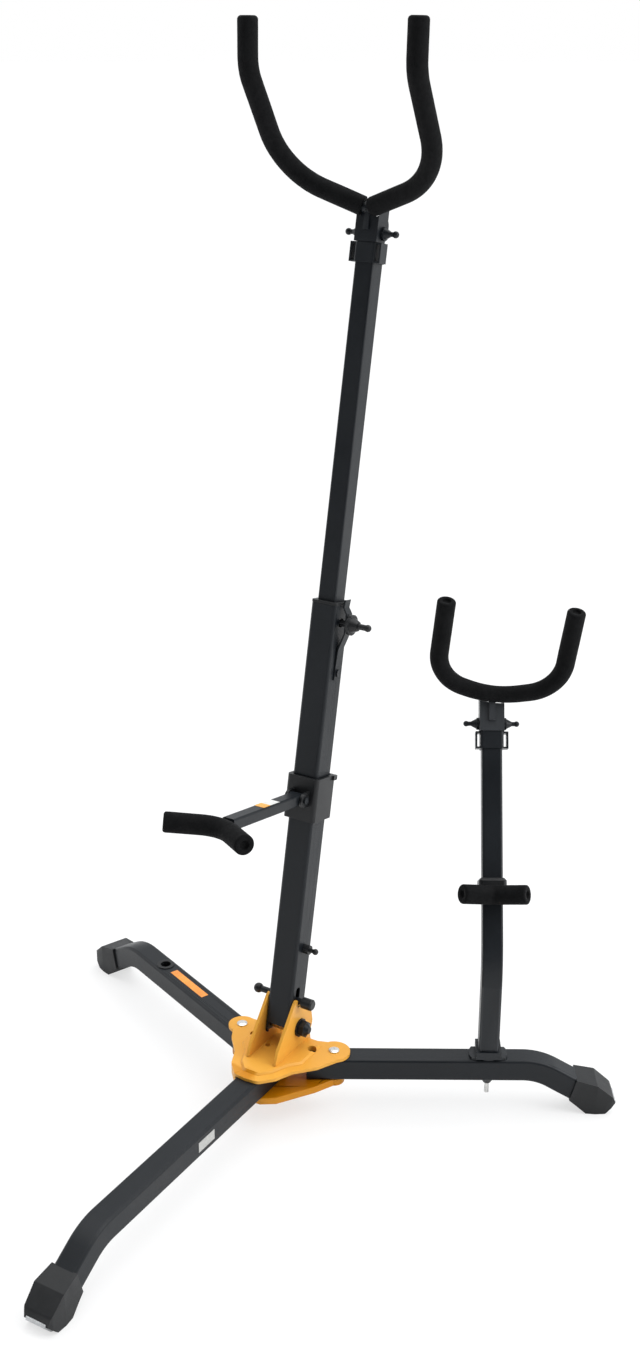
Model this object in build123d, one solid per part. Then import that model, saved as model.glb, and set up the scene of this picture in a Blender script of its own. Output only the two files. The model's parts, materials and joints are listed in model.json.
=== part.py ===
from build123d import *
import os
from math import sin, cos, tan, radians, degrees, atan2, sqrt

# ---------------------------------------------------------------- driving dimensions (mm, degrees)
FRONT_AZ = 30.4          # the mast and the fixed leg point this far left of -Y
RIGHT_LEG_DEG = 120.75   # opening of the right leg, from the fixed leg
LEFT_LEG_DEG = 111.9     # opening of the left leg, from the fixed leg
LEG_TOP = 56.0           # top of the horizontal part of the legs
LEG_SEC = 22.5           # square leg tube
LEG_WALL = 1.5
LEG_R = 3.0              # outer corner radius
LEG_SLOPE = 31.0         # the outer end slopes down by this much
LEG_BEND = 54.0          # bend radius of the centre line
LEG_CORNER = 248.5       # radius where the slope's line meets the level line
FRONT_EXTRA = 28.0       # the fixed leg is longer by this
LEG_TUBE_END = 303.0     # end of the tube, radius, for the folding legs
RIVET_RAD = 55.5         # leg pivots from the centre
PLATE = 3.0              # hub sheet
CLEAR = 0.2
MAST_TILT = 12.0         # the mast leans back
PIVOT_Z = 81.0
PIVOT_BACK = 15.4        # mast axis behind the centre at the pivot's height
LOW_SEC = 26.0
LOW_WALL = 1.6
LOW_BOT = -8.0
LOW_TOP = 405.5
UP_SEC = 18.4
UP_WALL = 1.5
UP_BOT = 300.0
YPIN = 729.5             # yoke hinge along the mast
LOCK_U = 27.5            # lock pin above the mast pivot
LOCK_V = -3.0            # lock pin ahead (-) of the mast axis
HP_U = 389.0             # height lock
ARM_U = 225.0            # arm collar centre along the mast
ARM_ELEV = 11.0
ARM_LEN = 118.0
FORK_HALF = 56.0         # half opening of the main fork
FORK_LEN = 47.5
FOAM_R = 8.6
ROD_R = 4.5
SM_RHO = 201.0           # small stand: radius along the right leg
SM_AZ = 0.5              # its lean points this far right of +Y
SM_SEC = 19.2
SM_WALL = 1.4

os.makedirs("parts", exist_ok=True)

HUB = Rot(0, 0, -FRONT_AZ)                      # X = right hand side, Y = back, Z = up
MAST = HUB * Pos(0, PIVOT_BACK, PIVOT_Z) * Rot(-MAST_TILT, 0, 0)


def leg_frame(az):
    return HUB * Rot(0, 0, az)


A_FRONT = -90.0
A_RIGHT = -90.0 + RIGHT_LEG_DEG
A_LEFT = -90.0 - LEFT_LEG_DEG
LF = {"front": leg_frame(A_FRONT), "right": leg_frame(A_RIGHT), "left": leg_frame(A_LEFT)}
ZC = LEG_TOP - LEG_SEC / 2


# ---------------------------------------------------------------- helpers
def cyl(r, p, d, length, r2=None):
    """Cylinder or cone from point p along direction d."""
    pl = Plane(origin=p, z_dir=d)
    if r2 is None:
        return pl * Cylinder(r, length, align=(Align.CENTER, Align.CENTER, Align.MIN))
    return pl * Cone(r, r2, length, align=(Align.CENTER, Align.CENTER, Align.MIN))


def box(x0, x1, y0, y1, z0, z1):
    return Pos((x0 + x1) / 2, (y0 + y1) / 2, (z0 + z1) / 2) * Box(x1 - x0, y1 - y0, z1 - z0)


def sq_tube(sec, wall, z0, z1, r):
    out = extrude(RectangleRounded(sec, sec, r), z1 - z0)
    inn = extrude(RectangleRounded(sec - 2 * wall, sec - 2 * wall, max(r - wall, 0.4)), z1 - z0)
    return Pos(0, 0, z0) * (out - inn)


def sq_bar(sec, z0, z1, r):
    return Pos(0, 0, z0) * extrude(RectangleRounded(sec, sec, r), z1 - z0)


def hexagon(af, p, d, length):
    pl = Plane(origin=p, z_dir=d)
    return pl * extrude(RegularPolygon(af / 2, 6, major_radius=False), length)


def bent(pts, radii):
    return FilletPolyline(*pts, radius=radii) if len(pts) > 2 else Polyline(*pts)


def sweep_round(path, r):
    return sweep(Plane(origin=path @ 0, z_dir=path % 0) * Circle(r), path=path)


# ---------------------------------------------------------------- legs
def leg_path(extra, r0, r1):
    rb = LEG_CORNER + extra
    s = radians(LEG_SLOPE)
    ends = (r1 + extra, 0, ZC - (r1 + extra - rb) * tan(s))
    return FilletPolyline((r0, 0, ZC), (rb, 0, ZC), ends, radius=LEG_BEND)


def leg_tube(extra, r0):
    path = leg_path(extra, r0, LEG_TUBE_END)
    pl = Plane(origin=path @ 0, z_dir=path % 0, x_dir=(0, 1, 0))
    out = sweep(pl * RectangleRounded(LEG_SEC, LEG_SEC, LEG_R), path=path)
    inn = sweep(pl * RectangleRounded(LEG_SEC - 2 * LEG_WALL, LEG_SEC - 2 * LEG_WALL, LEG_R - LEG_WALL), path=path)
    return out - inn


def slope_frame(extra):
    """Frame on the sloping centre line: X down the slope, Z its normal, origin at the corner."""
    return Pos(LEG_CORNER + extra, 0, ZC) * Rot(0, LEG_SLOPE, 0)


def boot(extra):
    """Rubber boot over the sloping end: a block with a chamfered nose, flat under, and a stepped mouth."""
    rb = LEG_CORNER + extra
    half = 15.2
    prof = [(rb + 30, 13.5), (rb + 36.0, 36.0), (rb + 56.0, 31.0), (rb + 71.5, 17.5), (rb + 74.0, 10.5), (rb + 67.0, 2.6), (rb + 64.5, 0.0), (rb + 46.0, 0.0)]
    pl = Plane.XZ
    face = make_face(Polyline(*[(a, b) for a, b in prof], close=True))
    body = extrude(pl * face, half, both=True)
    # plan taper toward the mouth
    taper = Polyline((rb + 20, 12.4), (rb + 36, 13.2), (rb + 55, half), (rb + 70, half - 1.0), (rb + 77, half - 5.0), (rb + 77, -half + 5.0), (rb + 70, -half + 1.0), (rb + 55, -half), (rb + 36, -13.2), (rb + 20, -12.4), close=True)
    body = body & (Pos(0, 0, -5) * extrude(make_face(taper), 60))
    sf = slope_frame(extra)
    # socket that the tube fills
    sock = sf * (Pos(20, 0, 0) * Rot(0, 90, 0) * extrude(RectangleRounded(LEG_SEC + 0.04, LEG_SEC + 0.04, LEG_R), 100))
    end_x = (LEG_TUBE_END - LEG_CORNER) / cos(radians(LEG_SLOPE))
    keep = sf * Pos(end_x + 0.02, -40, -40) * Box(60, 80, 80, align=(Align.MIN, Align.MIN, Align.MIN))
    body = body - (sock - keep)
    # seat for the glide pad
    pad = pad_solid(extra)
    body = body - pad
    return body


def pad_solid(extra):
    rb = LEG_CORNER + extra
    prof = Polyline((rb + 50.0, 0.0), (rb + 50.0, 3.0), (rb + 60.0, 5.0), (rb + 66.0, 12.5), (rb + 74.3, 12.5), (rb + 75.0, 9.6), (rb + 68.4, 1.6), (rb + 66.5, 0.0), close=True)
    return extrude(Plane.XZ * make_face(prof), 10.0, both=True)


legs = {}
boots = {}
pads = {}
r_in_fold = RIVET_RAD - 26.0
for name, extra, r0 in (("front", FRONT_EXTRA, -2.0), ("right", 0.0, r_in_fold), ("left", 0.0, r_in_fold)):
    t = leg_tube(extra, r0)
    legs[name] = t
    boots[name] = boot(extra)
    pads[name] = pad_solid(extra)

# rivet, lock-button and accessory holes in the folding legs
for name in ("right", "left"):
    legs[name] = legs[name] - cyl(5.05, (RIVET_RAD, 0, 20), (0, 0, 1), 50)
    legs[name] = legs[name] - cyl(3.7, (RIVET_RAD - 21.0, 0, 50), (0, 0, 1), 20)
# accessory sockets: a keyed hole for a peg in the left leg, the small stand's stud hole in the right leg
ACC_R = 5.2
ACC_RHO = 196.0
legs["left"] = legs["left"] - cyl(ACC_R + 2.0, (ACC_RHO, 0, 20), (0, 0, 1), 50)
legs["right"] = legs["right"] - cyl(4.1, (SM_RHO, 0, 20), (0, 0, 1), 50)
# screw holes of the fixed leg
for rr in (26.0,):
    legs["front"] = legs["front"] - cyl(3.1, (rr, 0, 20), (0, 0, 1), 50)

# threaded-insert bush lining the accessory hole of the left leg
acc_bush = cyl(ACC_R + 1.98, (ACC_RHO, 0, ZC - LEG_SEC / 2 - 0.4), (0, 0, 1), LEG_SEC + 0.5) + cyl(ACC_R + 3.6, (ACC_RHO, 0, LEG_TOP + 0.02), (0, 0, 1), 1.0)
acc_bush = acc_bush - cyl(ACC_R, (ACC_RHO, 0, 10), (0, 0, 1), 60)

# labels: plain bands stuck on the tubes
label_left = box(122, 180, -4.0, 4.0, LEG_TOP + 0.01, LEG_TOP + 0.21)
label_front = box(118, 142, 0, 0.2, ZC - 5, ZC + 5)
label_front = Pos(0, LEG_SEC / 2 + 0.01, 0) * label_front   # on the side away from the mirror leg

# ---------------------------------------------------------------- hub
TOP0 = LEG_TOP + CLEAR            # underside of the top plate
BOT1 = LEG_TOP - LEG_SEC - CLEAR  # upper face of the lower plate
pr = (RIVET_RAD * cos(radians(A_RIGHT)), RIVET_RAD * sin(radians(A_RIGHT)))
plf = (RIVET_RAD * cos(radians(A_LEFT)), RIVET_RAD * sin(radians(A_LEFT)))


EAR_IN = LOW_SEC / 2 + 0.35
EAR_T = 3.0


TOP_HALF = [(0, -52.0), (13.0, -50.5), (24.5, -38.0), (32.0, -21.0), (48.0, -3.0), (59.0, 19.0)]
LOW_HALF = [(0, -42.0), (9.0, -41.0), (21.5, -32.5), (43.5, 1.0), (52.0, 19.0)]


def lobed(half, lob_r, lob_l, back, rc, rv):
    """Three-lobed plan, mirrored about the mast's plane, with a round lobe over each pivot."""
    right = half + [(pr[0] + lob_r - 1.0, pr[1] + 2.0), (pr[0] + 3.0, pr[1] + lob_r - 0.5), (26.0, back)]
    left = [(-x, y) for x, y in half[1:]] + [(plf[0] - lob_l + 1.0, plf[1] + 2.0), (plf[0] - 3.0, plf[1] + lob_l - 0.5), (-26.0, back)]
    f = make_face(Polyline(*(right + left[::-1]), close=True))
    f = f + Pos(pr[0], pr[1]) * Circle(lob_r) + Pos(plf[0], plf[1]) * Circle(lob_l)
    f = offset(offset(f, rc, kind=Kind.ARC), -rc, kind=Kind.INTERSECTION)
    if rv > 0:
        f = offset(offset(f, -rv, kind=Kind.INTERSECTION), rv, kind=Kind.ARC)
    return f


def plate_outline(grow=0.0):
    f = lobed(TOP_HALF, 15.3, 13.2, 34.0, 8.0, 7.0)
    return f if grow == 0 else offset(f, grow, kind=Kind.INTERSECTION)


top = Pos(0, 0, TOP0) * extrude(plate_outline(), PLATE)
# raised centre: a low step that carries the ears
step = Pos(0, 0, TOP0 + PLATE - 0.01) * extrude(offset(plate_outline(), -8.5, kind=Kind.INTERSECTION), 2.2)
step = step & box(-34, 34, -43, 33, 0, 90)
step = chamfer(step.faces().sort_by(Axis.Z)[-1].edges(), 1.9)
top = top + step
# front skirts on both sides of the fixed leg
sk_out = extrude(plate_outline(), 8.0)
sk_in = extrude(offset(plate_outline(), -PLATE, kind=Kind.INTERSECTION), 8.0)
skirt = Pos(0, 0, TOP0 - 7.99) * (sk_out - sk_in)
skirt = skirt & box(-34, 34, -60, -17.0, 0, 90)
skirt = skirt - box(-LEG_SEC / 2 - 0.4, 60, -80, 40, 0, TOP0)
top = top + skirt
# ears beside the mast, drawn in the mast's side view (Y back, Z along the mast)
ear_pts = [(-36, -27.0), (-33.5, -15.0), (-11.5, 27.0), (-9.6, 29.0), (-7.2, 29.4), (-6.4, 28.0), (-6.3, 22.0), (2.0, 22.0), (22.0, 10.0), (27.0, -3.0), (30.0, -30)]
ear2d = make_face(Polyline(*ear_pts, close=True))
# behind the notch the ears stay inside the pin's path when the mast folds back
EAR_ARC = 23.6
ear2d = ear2d & (Pos(2.0, 0) * Circle(EAR_ARC) + make_face(Polyline((-40, -40), (-40, 40), (-6.3, 40), (-6.3, 5.0), (22, -8), (34, -40), close=True)))
ears = []
for sx in (-1, 1):
    e = extrude(Plane.YZ * ear2d, EAR_T)
    x0 = EAR_IN if sx > 0 else -EAR_IN - EAR_T
    e = MAST * Pos(x0, 0, 0) * e
    ears.append(e)
ear_keep = HUB * box(-60, 60, -60, 80, TOP0, 200)
hub_top = HUB * top
for e in ears:
    hub_top = hub_top + (e & ear_keep)
# notch under the lock pin and the pivot hole
PIN_R = 3.0
hub_top = hub_top - MAST * cyl(5.05, (-40, 2.0, 0), (1, 0, 0), 80)
notch = MAST * (cyl(PIN_R + 0.3, (-40, LOCK_V, LOCK_U), (1, 0, 0), 80) + box(-40, 40, LOCK_V - PIN_R - 0.3, LOCK_V + PIN_R + 0.3, LOCK_U, LOCK_U + 20))
hub_top = hub_top - notch
for k, (px, py) in (("r", pr), ("l", plf)):
    hub_top = hub_top - HUB * cyl(3.25, (px, py, 40), (0, 0, 1), 60)
# lock-button windows and the centre hole
for az in (A_RIGHT, A_LEFT):
    c = RIVET_RAD - 21.0
    hub_top = hub_top - HUB * cyl(4.4, (c * cos(radians(az)), c * sin(radians(az)), 40), (0, 0, 1), 40)
hub_top = hub_top - HUB * cyl(2.6, (-9.0, 1.0, 40), (0, 0, 1), 60)

# lower plate with an upturned rim between the legs
low_f = lobed(LOW_HALF, 10.0, 10.0, 31.0, 8.0, 0)
low = Pos(0, 0, BOT1 - PLATE) * extrude(low_f, PLATE)
rim = Pos(0, 0, BOT1 - PLATE - 4.0) * (extrude(low_f, 4.01) - extrude(offset(low_f, -2.6, kind=Kind.INTERSECTION), 4.01))
low = low + rim
low = HUB * low
for (px, py) in (pr, plf):
    low = low - HUB * cyl(3.25, (px, py, 10), (0, 0, 1), 40)
low = low - HUB * cyl(3.1, (0, -26.0, 10), (0, 0, 1), 40)

# leg pivots: shouldered rivets with a spacer bush inside the tube
def rivet(px, py):
    z0 = BOT1 - PLATE
    z1 = TOP0 + PLATE
    sh = cyl(3.2, (px, py, z0 - 0.02), (0, 0, 1), z1 - z0 + 0.04)
    top_h = Pos(px, py, z1 + 0.02) * (Cylinder(5.0, 0.9, align=(Align.CENTER, Align.CENTER, Align.MIN)) + Pos(0, 0, 0.9) * Cone(5.0, 3.0, 0.9, align=(Align.CENTER, Align.CENTER, Align.MIN)))
    bot_h = Pos(px, py, z0 - 2.22) * Cylinder(5.6, 2.2, align=(Align.CENTER, Align.CENTER, Align.MIN))
    return HUB * (sh + top_h + bot_h)


rivets = Compound([rivet(*pr), rivet(*plf)])
bushes = []
for (px, py) in (pr, plf):
    bushes.append(HUB * (cyl(4.98, (px, py, LEG_TOP - LEG_SEC - 0.1), (0, 0, 1), LEG_SEC + 0.2) - cyl(3.22, (px, py, 0), (0, 0, 1), 90)))
bushes = Compound(bushes)
fix_screw = HUB * (cyl(3.05, (0, -26.0, BOT1 - PLATE - 0.02), (0, 0, 1), TOP0 - 0.1 - (BOT1 - PLATE)) + cyl(5.0, (0, -26.0, BOT1 - PLATE - 2.7), (0, 0, 1), 2.68))

# lock buttons below the windows of the top plate
def button(name):
    c = RIVET_RAD - 21.0
    b = cyl(3.4, (c, 0, ZC - 4), (0, 0, 1), LEG_TOP - ZC + 4 - 0.05) + cyl(5.6, (c, 0, ZC - 4), (0, 0, 1), 3.0)
    return LF[name] * b


def button_spring(name):
    c = RIVET_RAD - 21.0
    z0 = LEG_TOP - LEG_SEC + LEG_WALL + 0.05
    return LF[name] * (cyl(5.0, (c, 0, z0), (0, 0, 1), ZC - 4 - 3.2 - z0) - cyl(3.6, (c, 0, z0 - 1), (0, 0, 1), 40))


# ---------------------------------------------------------------- mast, lower part (mast frame)
low_tube = sq_tube(LOW_SEC, LOW_WALL, LOW_BOT, LOW_TOP, 3.2)
low_tube = low_tube - cyl(7.55, (-20, 2.0, 0), (1, 0, 0), 40)
low_tube = low_tube - (cyl(PIN_R + 0.25, (-20, LOCK_V, LOCK_U - 0.1), (1, 0, 0), 40) + cyl(PIN_R + 0.25, (-20, LOCK_V, LOCK_U + 9.5), (1, 0, 0), 40) + box(-20, 20, LOCK_V - PIN_R - 0.25, LOCK_V + PIN_R + 0.25, LOCK_U - 0.1, LOCK_U + 9.5))
low_tube = low_tube - cyl(4.1, (5, 0, HP_U), (1, 0, 0), 20)
low_tube = low_tube - cyl(3.1, (5, 0, 78.5), (1, 0, 0), 20)
low_tube = low_tube - cyl(1.6, (5, 1.0, 343.0), (1, 0, 0), 20)
low_tube = low_tube - box(-9, 9, -20, -10, LOW_BOT - 1, 1.5)     # relief ahead of the pivot sleeve
mast_sleeve = cyl(7.5, (-EAR_IN + 0.05, 2.0, 0), (1, 0, 0), 2 * EAR_IN - 0.1) - cyl(5.05, (-20, 2.0, 0), (1, 0, 0), 40)

bolt = cyl(5.0, (-EAR_IN - EAR_T - 0.02, 2.0, 0), (1, 0, 0), 2 * (EAR_IN + EAR_T) + 0.04)
bolt = bolt + hexagon(14.0, (EAR_IN + EAR_T + 0.02, 2.0, 0), (1, 0, 0), 7.6) + cyl(8.8, (EAR_IN + EAR_T + 0.02, 2.0, 0), (1, 0, 0), 1.8)
bolt = bolt + cyl(6.2, (EAR_IN + EAR_T + 7.6, 2.0, 0), (1, 0, 0), 3.4, 3.2)
bolt = bolt + cyl(5.0, (-EAR_IN - EAR_T - 8.0, 2.0, 0), (1, 0, 0), 8.1)
nut = hexagon(14.5, (-EAR_IN - EAR_T - 7.2, 2.0, 0), (1, 0, 0), 7.0) - cyl(5.03, (-40, 2.0, 0), (1, 0, 0), 60)

# guide bush in the mouth of the lower tube
BUSH_IN = UP_SEC + 0.24
guide = sq_bar(LOW_SEC - 2 * LOW_WALL - 0.1, 366, LOW_TOP + 0.1, 1.6) + sq_bar(LOW_SEC + 0.6, LOW_TOP + 0.02, LOW_TOP + 2.6, 3.4)
guide = guide - Pos(0, 0, 360) * extrude(RectangleRounded(BUSH_IN, BUSH_IN, 2.2), 60)
guide = guide - cyl(4.1, (5, 0, HP_U), (1, 0, 0), 20)

# height lock: leaf spring riveted low on the right side, standing off at the pin
x0 = LOW_SEC / 2
leaf_pts = [(x0 + 0.05, 336.5), (x0 + 0.05, 350), (x0 + 0.8, 366), (x0 + 5.6, 380), (x0 + 5.6, 398), (x0 + 1.9, 404), (x0 + 2.6, 410.5),
            (x0 + 4.3, 411.0), (x0 + 3.5, 403.6), (x0 + 7.0, 398.6), (x0 + 7.0, 379.3), (x0 + 2.2, 365.2), (x0 + 1.45, 350), (x0 + 1.45, 336.5)]
leaf = extrude(Plane.XZ * make_face(Polyline(*leaf_pts, close=True)), 4.8, both=True)
leaf = Pos(0, 1.0, 0) * leaf
leaf = leaf - cyl(4.1, (0, 0, HP_U), (1, 0, 0), 60) - cyl(1.6, (5, 1.0, 343.0), (1, 0, 0), 20)
leaf_rivet = cyl(1.58, (x0 - 2.6, 1.0, 343.0), (1, 0, 0), 4.1) + cyl(3.4, (x0 + 1.47, 1.0, 343.0), (1, 0, 0), 1.5) + cyl(3.0, (x0 - LOW_WALL - 1.0, 1.0, 343.0), (1, 0, 0), 0.95)
pull = cyl(2.9, (UP_SEC / 2 + 0.35, 0, HP_U), (1, 0, 0), 16) + cyl(6.4, (x0 + 7.1, 0, HP_U), (1, 0, 0), 3.0) + cyl(9.4, (x0 + 9.6, 0, HP_U), (1, 0, 0), 2.4)
pull = pull + cyl(7.2, (x0 + 11.9, 0, HP_U), (1, 0, 0), 6.0, 4.4) + cyl(2.7, (x0 + 17.5, 0, HP_U), (1, 0, 0), 9.0) + Pos(x0 + 27.5, 0, HP_U) * Sphere(3.3)

# small stop pin low on the right side
stop_pin = cyl(3.0, (x0 - LOW_WALL - 1.5, 0, 78.5), (1, 0, 0), LOW_WALL + 1.6) + cyl(4.4, (x0 + 0.05, 0, 78.5), (1, 0, 0), 6.2) + cyl(2.0, (x0 + 6.0, 0, 78.5), (1, 0, 0), 5.0) + Pos(x0 + 12.0, 0, 78.5) * Sphere(2.9)

# mast lock pin with its two knobs
LOCK_HALF = EAR_IN + EAR_T
lock_pin = cyl(PIN_R, (-LOCK_HALF - 12.5, LOCK_V, LOCK_U), (1, 0, 0), 2 * LOCK_HALF + 18.5)
lock_knob_l = (Pos(-LOCK_HALF - 13.5, LOCK_V, LOCK_U) * Sphere(4.7)) - cyl(PIN_R + 0.02, (-LOCK_HALF - 12.55, LOCK_V, LOCK_U), (1, 0, 0), 40)
lock_knob_r = cyl(5.4, (LOCK_HALF + 3.4, LOCK_V, LOCK_U), (1, 0, 0), 11.0) - cyl(PIN_R + 0.02, (0, LOCK_V, LOCK_U), (1, 0, 0), LOCK_HALF + 6.05)
lock_knob_r = chamfer(lock_knob_r.edges().sort_by(Axis.X)[-1], 1.2)

# ---------------------------------------------------------------- mast, upper part
PIN_Y = 0.0
up_tube = sq_tube(UP_SEC, UP_WALL, UP_BOT, YPIN + UP_SEC / 2, 2.0)
top_keep = cyl(UP_SEC / 2, (-20, 0, YPIN), (1, 0, 0), 40) + box(-20, 20, -20, 20, 0, YPIN)
up_tube = up_tube & top_keep
up_tube = up_tube - cyl(3.05, (-20, 0, YPIN), (1, 0, 0), 40)
up_plug = sq_bar(UP_SEC - 2 * UP_WALL - 0.06, YPIN - 14, YPIN + UP_SEC / 2 - 0.2, 0.8) & (cyl(UP_SEC / 2 - 0.2, (-20, 0, YPIN), (1, 0, 0), 40) + box(-20, 20, -20, 20, 0, YPIN))
up_plug = up_plug - cyl(3.05, (-20, 0, YPIN), (1, 0, 0), 40)
up_foot = sq_bar(UP_SEC - 2 * UP_WALL - 0.06, UP_BOT - 2.0, UP_BOT + 12, 0.8) + sq_bar(UP_SEC + 1.6, UP_BOT - 3.0, UP_BOT - 0.02, 1.5)


# ---------------------------------------------------------------- yokes, shared detail
def yoke_bracket(sec, zp, pin_r, top):
    """Channel open at the back, hinged on the tube's rounded end; its front is -Y."""
    t = 1.6
    low_r = 7.8
    ci = sec / 2 + 0.3
    d = sec / 2 - 1.0
    ch = box(-ci - t, ci + t, -ci - t, d, zp - low_r, top) - box(-ci, ci, -ci, d + 1, zp - 20, top + 5)
    keep = cyl(low_r, (-40, 0, zp), (1, 0, 0), 80) + box(-40, 40, -40, 0, zp - low_r, top + 1)
    keep = keep + (cyl(d, (-40, 0, zp + 6.0), (1, 0, 0), 80) & box(-40, 40, 0, 40, zp + 2, top)) + box(-40, 40, 0, d - 2.0, zp + 6.0, top)
    ch = ch & keep
    ch = ch - cyl(pin_r + 0.03, (-40, 0, zp), (1, 0, 0), 80)
    return ch, ci, t


def pin_set(ci, t, zp, pin_r, ball=3.0):
    """Hinge pin with a cone and a ball at each end."""
    w = ci + t
    pin = cyl(pin_r, (-w - 3.0, 0, zp), (1, 0, 0), 2 * w + 6.0)
    caps = []
    for s in (-1, 1):
        c = cyl(5.8, (s * (w + 0.25), 0, zp), (s, 0, 0), 2.2) + cyl(5.0, (s * (w + 2.4), 0, zp), (s, 0, 0), 5.2, 2.2) + cyl(2.1, (s * (w + 7.4), 0, zp), (s, 0, 0), 4.4) + Pos(s * (w + 12.2), 0, zp) * Sphere(ball)
        c = c - cyl(pin_r + 0.02, (-w - 3.02, 0, zp), (1, 0, 0), 2 * w + 6.04)
        caps.append(c)
    return pin, Compound(caps)


def lock_slider(sec, zp, drop, length, grip, travel):
    """Thin sleeve around the tube with a stand-off grip loop on each side."""
    ci = sec / 2 + 0.15
    t = 1.0
    z1 = zp - drop
    z0 = z1 - length
    sl = sq_bar(2 * (ci + t), z0, z1, 2.6) - Pos(0, 0, z0 - 1) * extrude(RectangleRounded(2 * ci, 2 * ci, 2.0), length + 2)
    for s in (-1, 1):
        a = ci + t - 0.2
        lo, hi = sorted((s * a, s * (a + grip)))
        li, hii = sorted((s * (a + 0.3), s * (a + grip - 1.6)))
        g = box(lo, hi, -9.0, 2.5, z0, z1) - box(li, hii, -12, 6, z0 + 1.6, z1 - 1.6)
        sl = sl + g
    return sl


def u_path(pts, radii):
    return FilletPolyline(*pts, radius=radii)


# ---------------------------------------------------------------- big yoke (mast frame; Y back so forward is -Y)
def to_mast(up_deg, side, q):
    """Point at side, and q along a line tilted up_deg forward of the vertical, as mast-frame offsets."""
    g = radians(up_deg + MAST_TILT)
    return (side, -q * sin(g), q * cos(g))


Y_TILT = 30.2
Y_BU, Y_BV = 748.9, 10.7
Y_PTS = [(75.9, 33.3), (78.6, 129.4)]
Y_END = (78.9, 41.5, -1.8)


def yoke_pts(s, inner=0.0, cut=0.0):
    v0 = Vector(0, -Y_BV, Y_BU)
    p1 = Vector(*to_mast(Y_TILT, s * Y_PTS[0][0], Y_PTS[0][1])) + v0
    p2 = Vector(*to_mast(Y_TILT, s * Y_PTS[1][0], Y_PTS[1][1])) + v0
    p3 = Vector(*to_mast(Y_END[2], 0, Y_END[1] - cut)) + Vector(s * Y_END[0], p2.Y, p2.Z)
    d = (p1 - v0).normalized()
    p0 = v0 + d * inner
    return [p0, p1, p2, p3]


Y_RAD = [62.0, 38.0]


def yoke_rod(s):
    pts = yoke_pts(s, 1.2, 3.0)
    path = FilletPolyline(*pts, radius=Y_RAD)
    return sweep_round(path, ROD_R), path


def yoke_foam(s):
    pts = yoke_pts(s, 5.0, 0.0)
    path = FilletPolyline(*pts, radius=Y_RAD)
    outer = sweep_round(path, FOAM_R)
    inner_pts = yoke_pts(s, 3.0, 2.9)
    ipath = FilletPolyline(*inner_pts, radius=Y_RAD)
    inner = sweep_round(ipath, ROD_R + 0.05)
    return outer - inner


# fillet radii must fit the legs of the path
ybr, yci, yt = yoke_bracket(UP_SEC, YPIN, 3.0, YPIN + 21.0)
rods = []
foams = []
for s in (-1, 1):
    r, _ = yoke_rod(s)
    rods.append(r)
    foams.append(yoke_foam(s))
tongue = box(-2.6, 2.6, -Y_BV - 2.2, -yci, YPIN + 2, Y_BU + 1.0)
ybr = ybr + tongue
for s in (-1, 1):
    cut_path = FilletPolyline(*yoke_pts(s, 0.9, 3.0), radius=Y_RAD)
    ybr = ybr - sweep_round(cut_path, ROD_R + 0.03)
    fpath = FilletPolyline(*yoke_pts(s, 4.8, 3.0), radius=Y_RAD)
    ybr = ybr - sweep_round(fpath, FOAM_R + 0.15)
ypin, ycaps = pin_set(yci, yt, YPIN, 3.0)
yslider = lock_slider(UP_SEC, YPIN, 8.2, 17.0, 5.2, 12)

# ---------------------------------------------------------------- arm collar and arm (mast frame)
col_half = 20.5
COL_SEC = 33.0
collar = sq_bar(COL_SEC, ARM_U - col_half, ARM_U + col_half, 3.6) - Pos(0, 0, ARM_U - 40) * extrude(RectangleRounded(LOW_SEC + 1.6, LOW_SEC + 1.6, 3.6), 80)
liner = sq_bar(LOW_SEC + 1.56, ARM_U - col_half + 0.2, ARM_U + col_half - 0.2, 3.6) - Pos(0, 0, ARM_U - 40) * extrude(RectangleRounded(LOW_SEC + 0.16, LOW_SEC + 0.16, 3.2), 80)
# lip at the top of the back right corner and the socket the arm folds in
collar = collar + box(COL_SEC / 2 - 2, COL_SEC / 2 + 1.6, COL_SEC / 2 - 6, COL_SEC / 2, ARM_U + col_half - 4.5, ARM_U + col_half)
lug_y = -COL_SEC / 2
ARM_PIV_Y = lug_y - 6.4
ARM_PIV_Z = ARM_U + 1.0
lugs = None
for s in (-1, 1):
    lo, hi = sorted((s * 6.6, s * 9.4))
    g = box(lo, hi, lug_y - 13.5, lug_y + 0.5, ARM_PIV_Z - 7.0, ARM_PIV_Z + 7.0)
    g = g & (cyl(6.8, (-20, ARM_PIV_Y, ARM_PIV_Z), (1, 0, 0), 40) + box(-20, 20, ARM_PIV_Y, 0, ARM_PIV_Z - 7.0, ARM_PIV_Z + 7.0))
    collar = collar + g
collar = collar - cyl(2.05, (-20, ARM_PIV_Y, ARM_PIV_Z), (1, 0, 0), 40)
arm_pin = cyl(2.0, (-9.8, ARM_PIV_Y, ARM_PIV_Z), (1, 0, 0), 19.6) + cyl(3.2, (-9.65, ARM_PIV_Y, ARM_PIV_Z), (-1, 0, 0), 1.4) + cyl(3.2, (9.65, ARM_PIV_Y, ARM_PIV_Z), (1, 0, 0), 1.4)

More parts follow.
